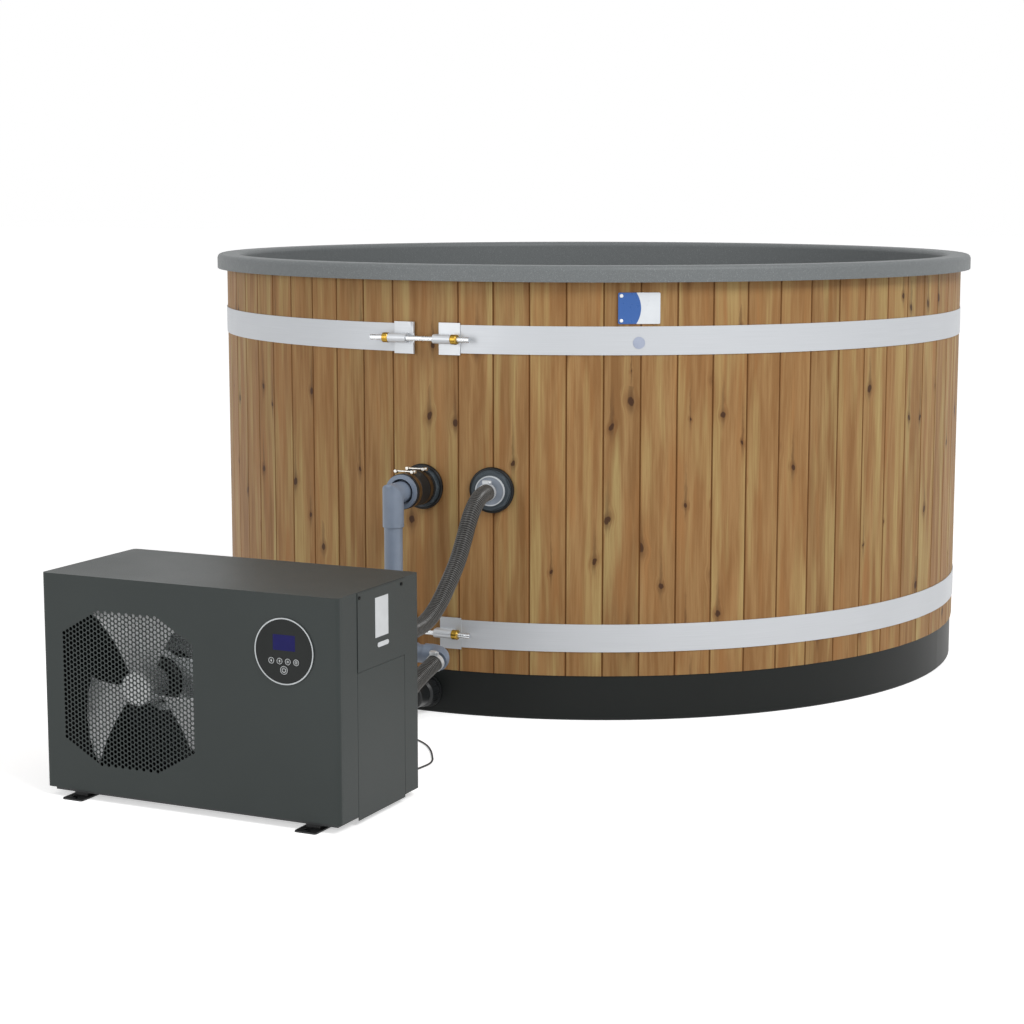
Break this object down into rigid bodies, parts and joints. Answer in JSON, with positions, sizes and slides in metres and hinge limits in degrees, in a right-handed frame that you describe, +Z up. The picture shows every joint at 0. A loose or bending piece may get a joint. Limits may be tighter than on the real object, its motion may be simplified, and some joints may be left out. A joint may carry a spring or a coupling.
{
  "type": "wooden hot tub",
  "caption": "Round stave-built hot tub with a moulded inner shell, steel bands, hose plumbing and an air-source heat pump beside it.",
  "frame": {"origin": "centre of the tub at floor level, on the underside of its base tray", "axes": "+Z up, -Y towards the heat pump, +X to the right when facing the heat pump from its fan side"},
  "size_m": [1.8858, 2.8019, 0.996],
  "materials": {
    "base_plastic": "satin moulded black",
    "bearer_wood": "sawn",
    "shell_moulding": "speckled grey, satin",
    "stave_wood": "oiled softwood with grain and knots",
    "band_steel": "brushed",
    "nut_brass": "plated",
    "fitting_plastic": "satin",
    "seal_rubber": "matt",
    "clamp_steel": "polished",
    "grey_pvc": "satin",
    "return_plastic": "satin",
    "hose_plastic": "ribbed, satin",
    "strainer_steel": "polished",
    "plate_print": "printed plain blue and white",
    "screw_white": "gloss white",
    "label_white": "plain film",
    "pan_paint": "satin black",
    "shroud_plastic": "matt",
    "screw_steel": "plated",
    "cabinet_paint": "satin powder coat",
    "fan_plastic": "moulded",
    "shaft_steel": "ground",
    "motor_paint": "satin",
    "bracket_steel": "galvanised",
    "coil_aluminium": "bare fins",
    "exchanger_plastic": "satin",
    "ring_metal": "satin",
    "face_plastic": "gloss black",
    "window_plastic": "blue liquid crystal window",
    "key_plastic": "satin",
    "lead_sheath": "satin"
  },
  "bodies": {
    "tub": {"base_tray": "base_plastic", "floor_bearers": "bearer_wood", "shell": "shell_moulding", "front_staves": "stave_wood", "rear_staves": "stave_wood", "wide_stave": "stave_wood", "upper_band": "band_steel", "lower_band": "band_steel", "band_lugs": "band_steel", "rod_sleeves": "band_steel", "tension_rods": "band_steel", "rod_nuts": "nut_brass", "suction_body": "fitting_plastic", "return_body": "fitting_plastic", "wall_gaskets": "seal_rubber", "wall_flanges": "fitting_plastic", "rubber_coupling": "seal_rubber", "coupling_clamps": "clamp_steel", "coupling_bush": "grey_pvc", "pvc_elbows": "grey_pvc", "pvc_pipes": "grey_pvc", "hose_tail": "grey_pvc", "return_tail": "return_plastic", "return_hose": "hose_plastic", "supply_hose": "hose_plastic", "hose_clamps": "clamp_steel", "drain_line": "base_plastic", "drain_strainer": "strainer_steel", "name_plate": "plate_print", "plate_screws": "screw_white", "plain_labels": "label_white", "base_pan": "pan_paint", "foot_rails": "pan_paint", "cabinet_screws": "screw_steel", "front_panel": "cabinet_paint", "top_cover": "cabinet_paint", "side_panels": "cabinet_paint", "service_cover": "cabinet_paint", "corner_posts": "cabinet_paint", "rear_panel": "cabinet_paint", "fan_shroud": "shroud_plastic", "fan_motor": "motor_paint", "motor_bracket": "bracket_steel", "evaporator": "coil_aluminium", "compressor": "motor_paint", "heat_exchanger": "exchanger_plastic", "display_ring": "ring_metal", "display_face": "face_plastic", "display_window": "window_plastic", "water_unions": "fitting_plastic", "cable_glands": "fitting_plastic", "sensor_lead": "lead_sheath"},
    "fan_rotor": {"fan": "fan_plastic", "fan_shaft": "shaft_steel"},
    "cap": {"drain_cap": "base_plastic"},
    "key_down_body": {"key_down": "key_plastic"},
    "key_up_body": {"key_up": "key_plastic"},
    "key_mode_body": {"key_mode": "key_plastic"},
    "key_clock_body": {"key_clock": "key_plastic"},
    "key_power_body": {"key_power": "key_plastic"}
  },
  "joints": [
    {"name": "fan_spin", "type": "hinge", "parent": "tub", "child": "fan_rotor", "pos_m": [-0.152, -1.79, 0.222], "axis": [0, 1, 0], "continuous": true},
    {"name": "drain_cap_turn", "type": "hinge", "parent": "tub", "child": "cap", "pos_m": [0, -0.95, 0.048], "axis": [0, -1, 0], "continuous": true},
    {"name": "key_down_press", "type": "slide", "parent": "tub", "child": "key_down_body", "axis": [0, 1, 0], "range_m": [0, 0.0006], "stiffness_N_per_m": 500, "springref_m": -0.001},
    {"name": "key_up_press", "type": "slide", "parent": "tub", "child": "key_up_body", "axis": [0, 1, 0], "range_m": [0, 0.0006], "stiffness_N_per_m": 500, "springref_m": -0.001},
    {"name": "key_mode_press", "type": "slide", "parent": "tub", "child": "key_mode_body", "axis": [0, 1, 0], "range_m": [0, 0.0006], "stiffness_N_per_m": 500, "springref_m": -0.001},
    {"name": "key_clock_press", "type": "slide", "parent": "tub", "child": "key_clock_body", "axis": [0, 1, 0], "range_m": [0, 0.0006], "stiffness_N_per_m": 500, "springref_m": -0.001},
    {"name": "key_power_press", "type": "slide", "parent": "tub", "child": "key_power_body", "axis": [0, 1, 0], "range_m": [0, 0.0006], "stiffness_N_per_m": 500, "springref_m": -0.001}
  ]
}
